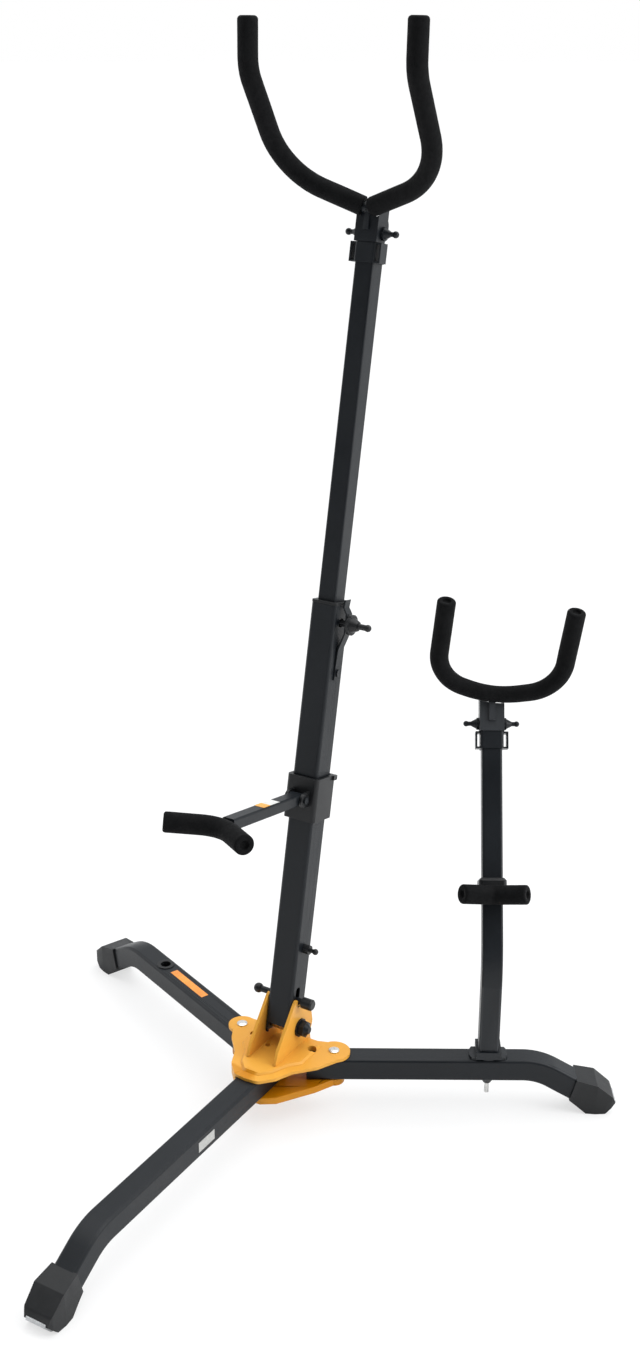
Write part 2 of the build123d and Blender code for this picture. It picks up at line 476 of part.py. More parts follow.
ge = radians(ARM_ELEV - MAST_TILT)      # arm direction in the mast frame: forward (-Y) and up
adir = Vector(0, -cos(ge), sin(ge))
ARMF = Pos(0, ARM_PIV_Y, ARM_PIV_Z) * Rot(degrees(-ge), 0, 0)      # local -Y runs out along the arm
arm_w, arm_h = 12.4, 11.0
arm_tube = ARMF * (Rot(90, 0, 0) * (Pos(0, 0, 0.0) * extrude(RectangleRounded(arm_w, arm_h, 2.0), ARM_LEN - 6.0)))
hub_round = ARMF * cyl(arm_h / 2, (-arm_w / 2, 0, 0), (1, 0, 0), arm_w)
arm_tube = arm_tube + hub_round
arm_tube = arm_tube - cyl(2.03, (-20, ARM_PIV_Y, ARM_PIV_Z), (1, 0, 0), 40)
arm_label = ARMF * (box(-arm_w / 2 + 1.2, arm_w / 2 - 1.2, -64, -38, arm_h / 2 + 0.01, arm_h / 2 + 0.21))

FK_E = 2.0
fe = radians(FK_E)


def fork_dir(s, half):
    h = radians(half)
    return Vector(s * sin(h), -cos(h), 0)


def fork_paths(half, length, start):
    a = Vector(0, -start, 0)
    out = []
    for s in (-1, 1):
        out.append(a + fork_dir(s, half) * length)
    return a, out


def fork_core(half, length, start, r, rad):
    a, (l, rr) = fork_paths(half, length, start)
    path = FilletPolyline(l, a, rr, radius=rad)
    return sweep_round(path, r)


def fork_foam(half, length, start, r_o, r_i, rad, back_r):
    a, (l, rr) = fork_paths(half, length, start)
    le = l + fork_dir(-1, half) * 2.6
    re = rr + fork_dir(1, half) * 2.6
    path = FilletPolyline(le, a, re, radius=rad)
    o = sweep_round(path, r_o)
    path2 = FilletPolyline(l + fork_dir(-1, half) * 0.1, a, rr + fork_dir(1, half) * 0.1, radius=rad)
    o = o - sweep_round(path2, r_i + 0.05)
    return o


f_core = fork_core(FORK_HALF, FORK_LEN, ARM_LEN + 3.0, 4.0, 28.0)
f_foam = fork_foam(FORK_HALF, FORK_LEN, ARM_LEN + 3.0, 9.0, 4.0, 28.0, 0)
# where the fork's core crosses the arm's end
apex_y = -ARM_LEN
core_m = ARMF * f_core
foam_m = ARMF * f_foam
arm_seat = ARMF * (cyl(4.03, (-12, -ARM_LEN + 6.6, 0), (1, 0, 0), 24))
arm_tube_full = arm_tube
# stub that joins arm and core inside the foam
stub = ARMF * cyl(3.6, (0, -(ARM_LEN - 6.02), 0), (0, -1, 0), 8.0)
core_m = core_m + (stub - arm_tube_full)
foam_m = foam_m - ARMF * cyl(3.65, (0, -(ARM_LEN - 16), 0), (0, -1, 0), 18.4)
foam_m = foam_m - ARMF * box(-arm_w / 2 - 0.1, arm_w / 2 + 0.1, -(ARM_LEN - 5.9), 0, -arm_h / 2 - 0.1, arm_h / 2 + 0.1)

# ---------------------------------------------------------------- small stand (own frame: X right, Y = back, the way it leans)
SB = LF["right"] * Pos(SM_RHO, 0, 0) * Rot(0, 0, -(A_RIGHT - FRONT_AZ)) * Rot(0, 0, -SM_AZ)
SM_A0 = LEG_TOP + 1.8
SM_P = [(0, 0, SM_A0 + 2.0), (0, -2.0, 158.0), (0, 113.0, 347.5)]
sm_lean = atan2(SM_P[2][1] - SM_P[1][1], SM_P[2][2] - SM_P[1][2])
SM_TIP = (0, SM_P[2][1] + sin(sm_lean) * (SM_SEC / 2 + 3.0), SM_P[2][2] + cos(sm_lean) * (SM_SEC / 2 + 3.0))
path = FilletPolyline(SM_P[0], SM_P[1], SM_TIP, radius=80.0)
p_dir = path % 0
spl = Plane(origin=path @ 0, z_dir=p_dir, x_dir=(1, 0, 0))
# frame at the top of the small tube: Z along the tube, front is -Y
ST = Pos(*SM_P[2]) * Rot(-degrees(sm_lean), 0, 0)
sm_out = sweep(spl * RectangleRounded(SM_SEC, SM_SEC, 2.4), path=path)
sm_out = sm_out & (ST * (cyl(SM_SEC / 2 - 0.01, (-20, 0, 0), (1, 0, 0), 40) + box(-40, 40, -SM_SEC / 2 + 0.01 - 0.01, SM_SEC / 2, -60, 0) + box(-150, 150, -300, 300, -600, -59)))
sm_tube = sm_out - sweep(spl * RectangleRounded(SM_SEC - 2 * SM_WALL, SM_SEC - 2 * SM_WALL, 1.2), path=path)
sm_tube = sm_tube - ST * cyl(2.55, (-20, 0, 0), (1, 0, 0), 40)
sm_plug = sq_bar(SM_SEC - 2 * SM_WALL - 0.3, -12, SM_SEC / 2 - 0.2, 0.8) & (cyl(SM_SEC / 2 - 0.2, (-20, 0, 0), (1, 0, 0), 40) + box(-20, 20, -20, 20, -20, 0))
sm_plug = sm_plug - cyl(2.55, (-20, 0, 0), (1, 0, 0), 40)

# saddle and stud: the foot of the small mast
saddle = cyl(11.0, (0, 0, LEG_TOP + 0.2), (0, 0, 1), 3.6) + (box(-18, 18, -9.5, 9.5, LEG_TOP + 0.2, LEG_TOP + 2.4) & (cyl(18.2, (0, 0, LEG_TOP), (0, 0, 1), 5)))
saddle = saddle + (box(-11.8, 11.8, -11.8, 11.8, LEG_TOP + 2.0, LEG_TOP + 9.5))
sm_cut = sweep(spl * RectangleRounded(SM_SEC + 0.04, SM_SEC + 0.04, 2.4), path=path)
saddle = saddle - sm_cut
saddle = saddle - cyl(3.53, (0, 0, 40), (0, 0, 1), 60)
stud = cyl(3.5, (0, 0, 26.0), (0, 0, 1), SM_A0 + 14 - 26.0) + cyl(2.2, (0, 0, 14.5), (0, 0, 1), 11.6)
inner_top = SM_A0 + 14.0
stud_anchor = (Pos(0, 0, SM_A0 + 4.0) * Box(15.8, 15.2, 8.0)) - cyl(3.53, (0, 0, 40), (0, 0, 1), 60)
cone_nut = cyl(3.6, (0, 0, LEG_TOP - LEG_SEC - 7.2), (0, 0, 1), 6.9, 7.8) + cyl(7.8, (0, 0, LEG_TOP - LEG_SEC - 0.35), (0, 0, 1), 0.1)
cone_nut = cyl(3.9, (0, 0, LEG_TOP - LEG_SEC - 7.2), (0, 0, 1), 7.0, 7.8) - cyl(3.55, (0, 0, 0), (0, 0, 1), 60)

# small collar with its fork
SC_Z = 215.0
tl = (SC_Z - SM_P[1][2]) / (SM_P[2][2] - SM_P[1][2])
SC = Pos(0, SM_P[1][1] + tl * (SM_P[2][1] - SM_P[1][1]), SC_Z) * Rot(-degrees(sm_lean), 0, 0)
s_collar = sq_bar(26.0, -10.4, 10.4, 3.6)
s_collar = chamfer(s_collar.faces().sort_by(Axis.Z)[-1].edges(), 2.4)
s_collar = s_collar - Pos(0, 0, -20) * extrude(RectangleRounded(SM_SEC + 0.2, SM_SEC + 0.2, 2.4), 40)
s_collar = s_collar + box(-4.6, 4.6, -15.2, -12.5, -10.0, -1.5)
SF_HALF, SF_LEN, SF_START = 63.0, 31.0, 17.5
SFK = Pos(0, 0, -5.8)
fk = SFK
sf_core = fk * fork_core(SF_HALF, SF_LEN, SF_START, 3.6, 12.0)
sf_foam = fk * fork_foam(SF_HALF, SF_LEN, SF_START, 9.0, 3.6, 12.0, 0)
sf_stub = SFK * cyl(3.2, (0, -14.6, 0), (0, -1, 0), 4.0)
guard = box(-13.25, 13.25, -13.25, 20, -30, 30) + box(-4.9, 4.9, -15.45, -5, -10.3, -1.2)
sf_core = sf_core + sf_stub
sf_core = sf_core - (box(-13.02, 13.02, -13.02, 20, -30, 30) + box(-4.62, 4.62, -15.22, -5, -10.02, -1.48))
sf_foam = sf_foam - SFK * cyl(3.25, (0, -14.0, 0), (0, -1, 0), 5.0) - guard

# small yoke, in the frame ST (front is -Y)
sbr, sci, st_ = yoke_bracket(SM_SEC, 0.0, 2.5, 23.5)
spin_, scaps = pin_set(sci, st_, 0.0, 2.5, 2.7)
S_TILT = 12.0
S_BU, S_BV = 24.0, 12.1
S_PTS = {-1: [(-53.4, 22.0), (-46.5, 105.2)], 1: [(62.6, 9.7), (71.7, 94.4)]}   # its rod sits a little askew


def s_off(side, q):
    g = radians(S_TILT) + sm_lean
    return Vector(side, -q * sin(g), q * cos(g))


sv0 = Vector(0, -S_BV, S_BU)
sp = {}
for s in (-1, 1):
    sp[s] = tuple(s_off(*q) + sv0 for q in S_PTS[s])
uL, uR = ((sp[s][1] - sp[s][0]).normalized() for s in (-1, 1))
s_pts_rod = [sp[-1][1] - uL * 2.5, sp[-1][0], sv0, sp[1][0], sp[1][1] - uR * 2.5]
s_pts_foam = [sp[-1][1], sp[-1][0], sv0, sp[1][0], sp[1][1]]
s_rad = [37.0, 95.0, 37.0]
s_path = FilletPolyline(*s_pts_rod, radius=s_rad)
sy_rod = sweep_round(s_path, 4.0)
f_path = FilletPolyline(*s_pts_foam, radius=s_rad)
hole_pts = [sp[-1][1] - uL * 2.4, sp[-1][0], sv0, sp[1][0], sp[1][1] - uR * 2.4]
sy_foam = sweep_round(f_path, 8.7) - sweep_round(FilletPolyline(*hole_pts, radius=s_rad), 4.05)
mid_z = None
s_tongue = box(-3.0, 3.0, -S_BV - 2.0, -sci, 2.0, S_BU + 1.0)
sbr = sbr + s_tongue
sbr = sbr - sweep_round(FilletPolyline(*s_pts_rod, radius=s_rad), 4.03)
foam_slot = box(-3.2, 3.2, -S_BV - 2.2, 12, -5, S_BU + 1.2)
sy_foam = sy_foam - foam_slot
fat = sweep_round(f_path, 8.85)
sbr = sbr - (fat - box(-3.1, 3.1, -S_BV - 2.1, 12, -5, S_BU + 1.1))
sslider = lock_slider(SM_SEC, 0.0, 8.2, 16.0, 4.8, 10)

# ---------------------------------------------------------------- place everything and write
TOMAST = MAST
nodes = {
    "hub_upper_bracket": hub_top,
    "hub_lower_plate": low,
    "leg_pivot_rivets": rivets,
    "leg_pivot_bushes": bushes,
    "front_leg_screw": fix_screw,
    "front_leg_tube": LF["front"] * legs["front"],
    "front_leg_boot": LF["front"] * boots["front"],
    "front_leg_glide": LF["front"] * pads["front"],
    "front_leg_label": LF["front"] * label_front,
    "mast_pivot_bolt": TOMAST * bolt,
    "mast_pivot_nut": TOMAST * nut,
    "right_leg_tube": LF["right"] * legs["right"],
    "right_leg_boot": LF["right"] * boots["right"],
    "right_leg_glide": LF["right"] * pads["right"],
    "left_leg_tube": LF["left"] * legs["left"],
    "left_leg_boot": LF["left"] * boots["left"],
    "left_leg_glide": LF["left"] * pads["left"],
    "left_leg_label": LF["left"] * label_left,
    "left_leg_peg_bush": LF["left"] * acc_bush,
    "right_leg_button": button("right"),
    "left_leg_button": button("left"),
    "right_leg_button_spring": button_spring("right"),
    "left_leg_button_spring": button_spring("left"),
    "mast_lower_tube": TOMAST * low_tube,
    "mast_pivot_sleeve": TOMAST * mast_sleeve,
    "mast_guide_bush": TOMAST * guide,
    "height_lock_leaf": TOMAST * leaf,
    "height_lock_leaf_rivet": TOMAST * leaf_rivet,
    "height_lock_pull": TOMAST * pull,
    "mast_stop_pin": TOMAST * stop_pin,
    "mast_lock_pin": TOMAST * lock_pin,
    "mast_lock_knobs": TOMAST * Compound([lock_knob_l, lock_knob_r]),
    "mast_upper_tube": TOMAST * up_tube,
    "upper_tube_end_plug": TOMAST * up_plug,
    "upper_tube_glide": TOMAST * up_foot,
    "yoke_bracket": TOMAST * ybr,
    "yoke_pin_set": TOMAST * Compound([ypin] + list(ycaps.solids())),
    "yoke_rods": TOMAST * Compound(rods),
    "yoke_foam": TOMAST * Compound(foams),
    "yoke_lock_slider": TOMAST * yslider,
    "arm_collar": TOMAST * collar,
    "arm_collar_liner": TOMAST * liner,
    "arm_hinge_pin": TOMAST * arm_pin,
    "arm_tube": TOMAST * arm_tube,
    "arm_label": TOMAST * arm_label,
    "fork_core": TOMAST * core_m,
    "fork_foam": TOMAST * foam_m,
    "small_mast_tube": SB * sm_tube,
    "small_mast_plug": SB * ST * sm_plug,
    "small_mast_saddle": SB * saddle,
    "small_mast_stud": SB * stud,
    "small_mast_cone_nut": SB * cone_nut,
    "small_collar": SB * SC * s_collar,
    "small_fork": SB * SC * sf_core,
    "small_fork_foam": SB * SC * sf_foam,
    "small_yoke_bracket": SB * ST * sbr,
    "small_yoke_rod": SB * ST * sy_rod,
    "small_yoke_foam": SB * ST * sy_foam,
    "small_yoke_lock_slider": SB * ST * sslider,
}
small_pin = SB * ST * spin_
small_caps = SB * ST * scaps
nodes["small_yoke_pin_set"] = Compound([small_pin] + list(small_caps.solids()))

bb = Compound([n for n in nodes.values()]).bounding_box()
cx = (bb.min.X + bb.max.X) / 2
cy = (bb.min.Y + bb.max.Y) / 2
cz = bb.min.Z
print("SHIFT", cx, cy, cz, "SIZE", bb.size)
SHIFT = Pos(-cx, -cy, -cz)
print("count", len(nodes))


def say(label, loc):
    p = (SHIFT * loc).position
    z = (SHIFT * loc) * Vector(0, 0, 0)
    print(label, tuple(round(v, 4) for v in (p.X, p.Y, p.Z)))


for name, shape in nodes.items():
    s = SHIFT * shape
    if isinstance(s, ShapeList):
        s = Compound(list(s))
    export_step(s, f"parts/{name}.step")
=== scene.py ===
import bpy
import bmesh
import json
from math import radians, degrees, sin, cos, tan, atan2, pi, sqrt
from mathutils import Vector, Matrix, noise


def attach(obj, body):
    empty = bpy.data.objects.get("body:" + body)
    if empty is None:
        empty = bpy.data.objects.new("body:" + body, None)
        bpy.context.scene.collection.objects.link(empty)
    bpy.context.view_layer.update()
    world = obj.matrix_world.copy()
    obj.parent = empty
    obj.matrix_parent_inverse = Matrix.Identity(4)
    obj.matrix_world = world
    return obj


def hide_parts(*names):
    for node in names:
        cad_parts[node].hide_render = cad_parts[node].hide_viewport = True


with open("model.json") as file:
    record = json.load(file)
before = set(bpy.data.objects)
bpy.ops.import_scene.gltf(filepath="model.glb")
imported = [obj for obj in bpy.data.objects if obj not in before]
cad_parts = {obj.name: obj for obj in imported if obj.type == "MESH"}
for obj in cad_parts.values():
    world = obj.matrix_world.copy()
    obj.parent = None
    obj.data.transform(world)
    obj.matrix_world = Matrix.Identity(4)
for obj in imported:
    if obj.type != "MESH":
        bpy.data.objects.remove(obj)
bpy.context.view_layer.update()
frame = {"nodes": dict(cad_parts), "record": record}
scene = bpy.context.scene
coll = scene.collection
nodes = frame["nodes"]
SLOT = {s["node"]: s["material_slot"] for s in frame["record"]["subparts"]}

# ------------------------------------------------------------------ placement, same numbers as the CAD
SHIFT = Vector((58.45535833165849, -22.942287321578846, 0.0))
MM = 0.001


def T(x, y, z):
    return Matrix.Translation((x, y, z))


def RX(a):
    return Matrix.Rotation(radians(a), 4, "X")


def RY(a):
    return Matrix.Rotation(radians(a), 4, "Y")


def RZ(a):
    return Matrix.Rotation(radians(a), 4, "Z")


TO_ROW = Matrix.Diagonal((MM, MM, MM, 1.0)) @ T(-SHIFT.x, -SHIFT.y, -SHIFT.z)
HUB = RZ(-30.4)
MAST = HUB @ T(0, 15.4, 81.0) @ RX(-12.0)
A_FRONT, A_RIGHT, A_LEFT = -90.0, 30.75, -201.9
LEG = {"front": HUB @ RZ(A_FRONT), "right": HUB @ RZ(A_RIGHT), "left": HUB @ RZ(A_LEFT)}
SB = LEG["right"] @ T(201.0, 0, 0) @ RZ(-(A_RIGHT - 30.4)) @ RZ(-0.5)
SM_LEAN = atan2(115.0, 189.5)
ST = SB @ T(0, 113.0, 347.5) @ RX(-degrees(SM_LEAN))
_tl = (215.0 - 158.0) / 189.5
SC = SB @ T(0, -2.0 + _tl * 115.0, 215.0) @ RX(-degrees(SM_LEAN))
SFK = SC @ T(0, 0, -5.8)
ARMF = MAST @ T(0, -16.5 - 6.4, 226.0) @ RX(1.0)


# ------------------------------------------------------------------ materials
def new_mat(name):
    m = bpy.data.materials.new(name)
    m.use_nodes = True
    nt = m.node_tree
    for n in list(nt.nodes):
        nt.nodes.remove(n)
    out = nt.nodes.new("ShaderNodeOutputMaterial")
    b = nt.nodes.new("ShaderNodeBsdfPrincipled")
    nt.links.new(b.outputs["BSDF"], out.inputs["Surface"])
    tc = nt.nodes.new("ShaderNodeTexCoord")
    return m, nt, b, tc


def tex_noise(nt, tc, scale, detail=3.0, rough=0.55, stretch=None):
    n = nt.nodes.new("ShaderNodeTexNoise")
    n.inputs["Scale"].default_value = scale
    n.inputs["Detail"].default_value = detail
    n.inputs["Roughness"].default_value = rough
    if stretch:
        mp = nt.nodes.new("ShaderNodeMapping")
        mp.inputs["Scale"].default_value = stretch
        nt.links.new(tc.outputs["Object"], mp.inputs["Vector"])
        nt.links.new(mp.outputs["Vector"], n.inputs["Vector"])
    else:
        nt.links.new(tc.outputs["Object"], n.inputs["Vector"])
    return n.outputs["Fac"]


def tex_cells(nt, tc, scale, feature="F1", rnd=1.0):
    n = nt.nodes.new("ShaderNodeTexVoronoi")
    n.feature = feature
    n.inputs["Scale"].default_value = scale
    n.inputs["Randomness"].default_value = rnd
    nt.links.new(tc.outputs["Object"], n.inputs["Vector"])
    return n.outputs["Distance"]


def ramp(nt, fac, stops):
    r = nt.nodes.new("ShaderNodeValToRGB")
    el = r.color_ramp.elements
    while len(el) > 1:
        el.remove(el[-1])
    el[0].position = stops[0][0]
    el[0].color = (*stops[0][1], 1.0)
    for p, c in stops[1:]:
        e = el.new(p)
        e.color = (*c, 1.0)
    nt.links.new(fac, r.inputs["Fac"])
    return r.outputs["Color"]


def rng(nt, fac, lo, hi, a=0.0, b=1.0):
    r = nt.nodes.new("ShaderNodeMapRange")
    r.inputs["From Min"].default_value = a
    r.inputs["From Max"].default_value = b
    r.inputs["To Min"].default_value = lo
    r.inputs["To Max"].default_value = hi
    nt.links.new(fac, r.inputs["Value"])
    return r.outputs["Result"]


def math(nt, op, a, b):
    m = nt.nodes.new("ShaderNodeMath")
    m.operation = op
    for i, v in enumerate((a, b)):
        if isinstance(v, (int, float)):
            m.inputs[i].default_value = v
        else:
            nt.links.new(v, m.inputs[i])
    return m.outputs[0]


def bump(nt, b, heights):
    """heights: (socket, strength, distance) chained."""
    prev = None
    for h, st, dist in heights:
        bn = nt.nodes.new("ShaderNodeBump")
        bn.inputs["Strength"].default_value = st
        bn.inputs["Distance"].default_value = dist
        nt.links.new(h, bn.inputs["Height"])
        if prev:
            nt.links.new(prev, bn.inputs["Normal"])
        prev = bn.outputs["Normal"]
    nt.links.new(prev, b.inputs["Normal"])


def worn(nt, lo=0.51, hi=0.58):
    """Edges that stick out, from pointiness alone: 0 to 1."""
    g = nt.nodes.new("ShaderNodeNewGeometry")
    return rng(nt, g.outputs["Pointiness"], 0.0, 1.0, lo, hi)


def mix_col(nt, fac, a, b):
    m = nt.nodes.new("ShaderNodeMix")
    m.data_type = "RGBA"
    nt.links.new(fac, m.inputs["Factor"])
    for key, v in (("A", a), ("B", b)):
        s = [i for i in m.inputs if i.name == key and i.type == "RGBA"][0]
        if isinstance(v, tuple):
            s.default_value = (*v, 1.0)
        else:
            nt.links.new(v, s)
    return [o for o in m.outputs if o.type == "RGBA"][0]


def mat_powder_black():
    m, nt, b, tc = new_mat("black_powder_coat")
    fine = tex_noise(nt, tc, 1500.0, 2.0, 0.5)
    peel = tex_noise(nt, tc, 420.0, 2.0, 0.45)
    broad = tex_noise(nt, tc, 14.0, 4.0, 0.6)
    fleck = tex_cells(nt, tc, 2600.0)
    col = ramp(nt, broad, [(0.30, (0.0034, 0.0050, 0.0072)), (0.70, (0.0060, 0.0082, 0.0110))])
    spark = rng(nt, fleck, 1.0, 0.0, 0.02, 0.10)
    col = mix_col(nt, spark, col, (0.036, 0.041, 0.047))
    col = mix_col(nt, worn(nt, 0.525, 0.66), col, (0.034, 0.037, 0.041))
    nt.links.new(col, b.inputs["Base Color"])
    r = math(nt, "ADD", rng(nt, fine, -0.05, 0.05, 0.3, 0.7), rng(nt, broad, 0.36, 0.46, 0.3, 0.7))
    nt.links.new(r, b.inputs["Roughness"])
    b.inputs["Specular IOR Level"].default_value = 0.27
    bump(nt, b, [(peel, 0.30, 0.00012), (fine, 0.35, 0.00005)])
    return m


def mat_powder_orange():
    m, nt, b, tc = new_mat("orange_powder_coat")
    fine = tex_noise(nt, tc, 1300.0, 2.0, 0.5)
    peel = tex_noise(nt, tc, 360.0, 2.0, 0.45)
    broad = tex_noise(nt, tc, 22.0, 4.0, 0.6)
    speck = tex_cells(nt, tc, 900.0)
    col = ramp(nt, broad, [(0.30, (0.50, 0.185, 0.0010)), (0.70, (0.61, 0.235, 0.0020))])
    col = mix_col(nt, rng(nt, speck, 0.35, 0.0, 0.03, 0.12), col, (0.66, 0.28, 0.012))
    col = mix_col(nt, worn(nt, 0.54, 0.70), col, (0.74, 0.36, 0.05))
    nt.links.new(col, b.inputs["Base Color"])
    nt.links.new(math(nt, "ADD", rng(nt, fine, -0.04, 0.04, 0.3, 0.7), rng(nt, broad, 0.30, 0.40, 0.3, 0.7)), b.inputs["Roughness"])
    b.inputs["Specular IOR Level"].default_value = 0.22
    b.inputs["Coat Weight"].default_value = 0.03
    b.inputs["Coat Roughness"].default_value = 0.25
    bump(nt, b, [(peel, 0.35, 0.00014), (fine, 0.3, 0.00005)])
    return m


def mat_foam():
    m, nt, b, tc = new_mat("black_foam")
    cell = tex_cells(nt, tc, 1300.0)
    cell2 = tex_cells(nt, tc, 520.0)
    broad = tex_noise(nt, tc, 60.0, 5.0, 0.6)
    mott = tex_noise(nt, tc, 260.0, 3.0, 0.6)
    col = ramp(nt, cell, [(0.05, (0.0012, 0.0012, 0.0014)), (0.55, (0.0048, 0.0050, 0.0055))])
    col = mix_col(nt, rng(nt, broad, 0.0, 0.55, 0.42, 0.72), col, (0.0080, 0.0082, 0.0088))
    nt.links.new(col, b.inputs["Base Color"])
    nt.links.new(rng(nt, mott, 0.74, 0.92, 0.3, 0.7), b.inputs["Roughness"])
    b.inputs["Specular IOR Level"].default_value = 0.10
    bump(nt, b, [(cell2, 0.35, 0.00016), (cell, 0.55, 0.00014), (mott, 0.3, 0.00012)])
    return m


def mat_rubber():
    m, nt, b, tc = new_mat("black_rubber")
    fine = tex_noise(nt, tc, 1700.0, 2.0, 0.6)
    scuff = tex_noise(nt, tc, 45.0, 5.0, 0.65)
    lines = tex_noise(nt, tc, 160.0, 3.0, 0.6, (1.0, 1.0, 7.0))
    col = ramp(nt, scuff, [(0.35, (0.0050, 0.0058, 0.0068)), (0.72, (0.0125, 0.0134, 0.0146))])
    col = mix_col(nt, worn(nt, 0.53, 0.66), col, (0.026, 0.027, 0.029))
    nt.links.new(col, b.inputs["Base Color"])
    nt.links.new(math(nt, "ADD", rng(nt, fine, -0.05, 0.05, 0.3, 0.7), rng(nt, scuff, 0.44, 0.62, 0.3, 0.7)), b.inputs["Roughness"])
    b.inputs["Specular IOR Level"].default_value = 0.34
    bump(nt, b, [(lines, 0.12, 0.0002), (fine, 0.35, 0.00006)])
    return m


def mat_plastic():
    m, nt, b, tc = new_mat("black_plastic")
    fine = tex_cells(nt, tc, 1500.0)
    broad = tex_noise(nt, tc, 40.0, 4.0, 0.6)
    col = ramp(nt, broad, [(0.30, (0.0040, 0.0045, 0.0054)), (0.70, (0.0085, 0.0092, 0.0104))])
    col = mix_col(nt, worn(nt, 0.53, 0.66), col, (0.022, 0.023, 0.025))
    nt.links.new(col, b.inputs["Base Color"])
    b.inputs["Specular IOR Level"].default_value = 0.34
    nt.links.new(rng(nt, broad, 0.36, 0.48, 0.3, 0.7), b.inputs["Roughness"])
    bump(nt, b, [(fine, 0.25, 0.00006)])
    return m


def mat_grey_plastic():
    m, nt, b, tc = new_mat("grey_plastic")
    fine = tex_noise(nt, tc, 900.0, 3.0, 0.6)
    broad = tex_noise(nt, tc, 90.0, 4.0, 0.6)
    col = ramp(nt, broad, [(0.30, (0.42, 0.43, 0.44)), (0.70, (0.62, 0.63, 0.64))])
    nt.links.new(col, b.inputs["Base Color"])
    nt.links.new(rng(nt, fine, 0.28, 0.46, 0.3, 0.7), b.inputs["Roughness"])
    bump(nt, b, [(fine, 0.3, 0.00008)])
    return m


def mat_zinc():
    m, nt, b, tc = new_mat("zinc")
    br = tex_noise(nt, tc, 700.0, 3.0, 0.6, (1.0, 1.0, 0.06))
    broad = tex_noise(nt, tc, 120.0, 4.0, 0.6)
    col = ramp(nt, broad, [(0.30, (0.50, 0.50, 0.49)), (0.70, (0.78, 0.78, 0.76))])
    nt.links.new(col, b.inputs["Base Color"])
    b.inputs["Metallic"].default_value = 1.0
    nt.links.new(rng(nt, br, 0.22, 0.40, 0.3, 0.7), b.inputs["Roughness"])
    bump(nt, b, [(br, 0.25, 0.00005)])
    return m


def mat_label(name, lo, hi):
    m, nt, b, tc = new_mat(name)
    broad = tex_noise(nt, tc, 70.0, 4.0, 0.6)
    fine = tex_noise(nt, tc, 1500.0, 2.0, 0.6)
    nt.links.new(ramp(nt, broad, [(0.3, lo), (0.7, hi)]), b.inputs["Base Color"])
    nt.links.new(rng(nt, fine, 0.24, 0.36, 0.3, 0.7), b.inputs["Roughness"])
    b.inputs["Coat Weight"].default_value = 0.3
    bump(nt, b, [(fine, 0.15, 0.00003)])
    return m


def mat_arm_label():
    """Two plain bands, orange on the outer part and pale on the inner part."""
    m, nt, b, tc = new_mat("arm_label_bands")
    d = (TO_ROW @ ARMF).to_3x3() @ Vector((0, -1, 0))
    d.normalize()
    o = (TO_ROW @ ARMF) @ Vector((0, -53.0, 0))
    dot = nt.nodes.new("ShaderNodeVectorMath")
    dot.operation = "DOT_PRODUCT"
    nt.links.new(tc.outputs["Object"], dot.inputs[0])
    dot.inputs[1].default_value = tuple(d)
    off = d.dot(o)
    side = rng(nt, dot.outputs["Value"], 0.0, 1.0, off - 0.0002, off + 0.0002)
    broad = tex_noise(nt, tc, 90.0, 4.0, 0.6)
    fine = tex_noise(nt, tc, 1500.0, 2.0, 0.6)
    org = ramp(nt, broad, [(0.3, (0.72, 0.30, 0.01)), (0.7, (0.86, 0.38, 0.02))])
    pale = ramp(nt, broad, [(0.3, (0.60, 0.60, 0.58)), (0.7, (0.72, 0.72, 0.70))])
    nt.links.new(mix_col(nt, side, pale, org), b.inputs["Base Color"])
    nt.links.new(rng(nt, fine, 0.26, 0.38, 0.3, 0.7), b.inputs["Roughness"])
    bump(nt, b, [(fine, 0.15, 0.00003)])
    return m


MATS = {
    "black_powder_coat": mat_powder_black(),
    "orange_powder_coat": mat_powder_orange(),
    "black_foam": mat_foam(),
    "black_rubber": mat_rubber(),
    "black_plastic": mat_plastic(),
    "grey_plastic": mat_grey_plastic(),
    "zinc": mat_zinc(),
    "orange_label": mat_label("orange_label", (0.72, 0.22, 0.015), (0.86, 0.31, 0.03)),
    "pale_label": mat_label("pale_label", (0.33, 0.33, 0.32), (0.45, 0.45, 0.43)),
}


def clean_node(o, width, angle=32.0, segs=2):
    """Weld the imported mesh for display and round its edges; the node's own vertices stay as they are."""
    me = o.data
    if "custom_normal" in me.attributes:
        me.attributes.remove(me.attributes["custom_normal"])
    for p in me.polygons:
        p.use_smooth = True
    w = o.modifiers.new("weld", "WELD")
    w.merge_threshold = 0.000004
    if width > 0:
        bv = o.modifiers.new("edge", "BEVEL")
        bv.width = width
        bv.segments = segs
        bv.limit_method = "ANGLE"
        bv.angle_limit = radians(angle)
        bv.harden_normals = True
        bv.use_clamp_overlap = True
    wn = o.modifiers.new("normals", "WEIGHTED_NORMAL")
    wn.keep_sharp = True


WIDTH = {
    "front_leg_boot": 0.0022, "right_leg_boot": 0.0022, "left_leg_boot": 0.0022,
    "hub_upper_bracket": 0.0007, "hub_lower_plate": 0.0007,
    "arm_collar": 0.0009, "small_collar": 0.0008, "mast_lock_knobs": 0.0006,
    "front_leg_label": 0.0, "left_leg_label": 0.0, "arm_label": 0.0,
    "mast_pivot_bolt": 0.0005, "front_leg_glide": 0.0006, "right_leg_glide": 0.0006, "left_leg_glide": 0.0006,
}
for n, o in nodes.items():
    o.data.materials.clear()
    o.data.materials.append(MATS[SLOT[n]])
    clean_node(o, WIDTH.get(n, 0.00035))
nodes["arm_label"].data.materials[0] = mat_arm_label()


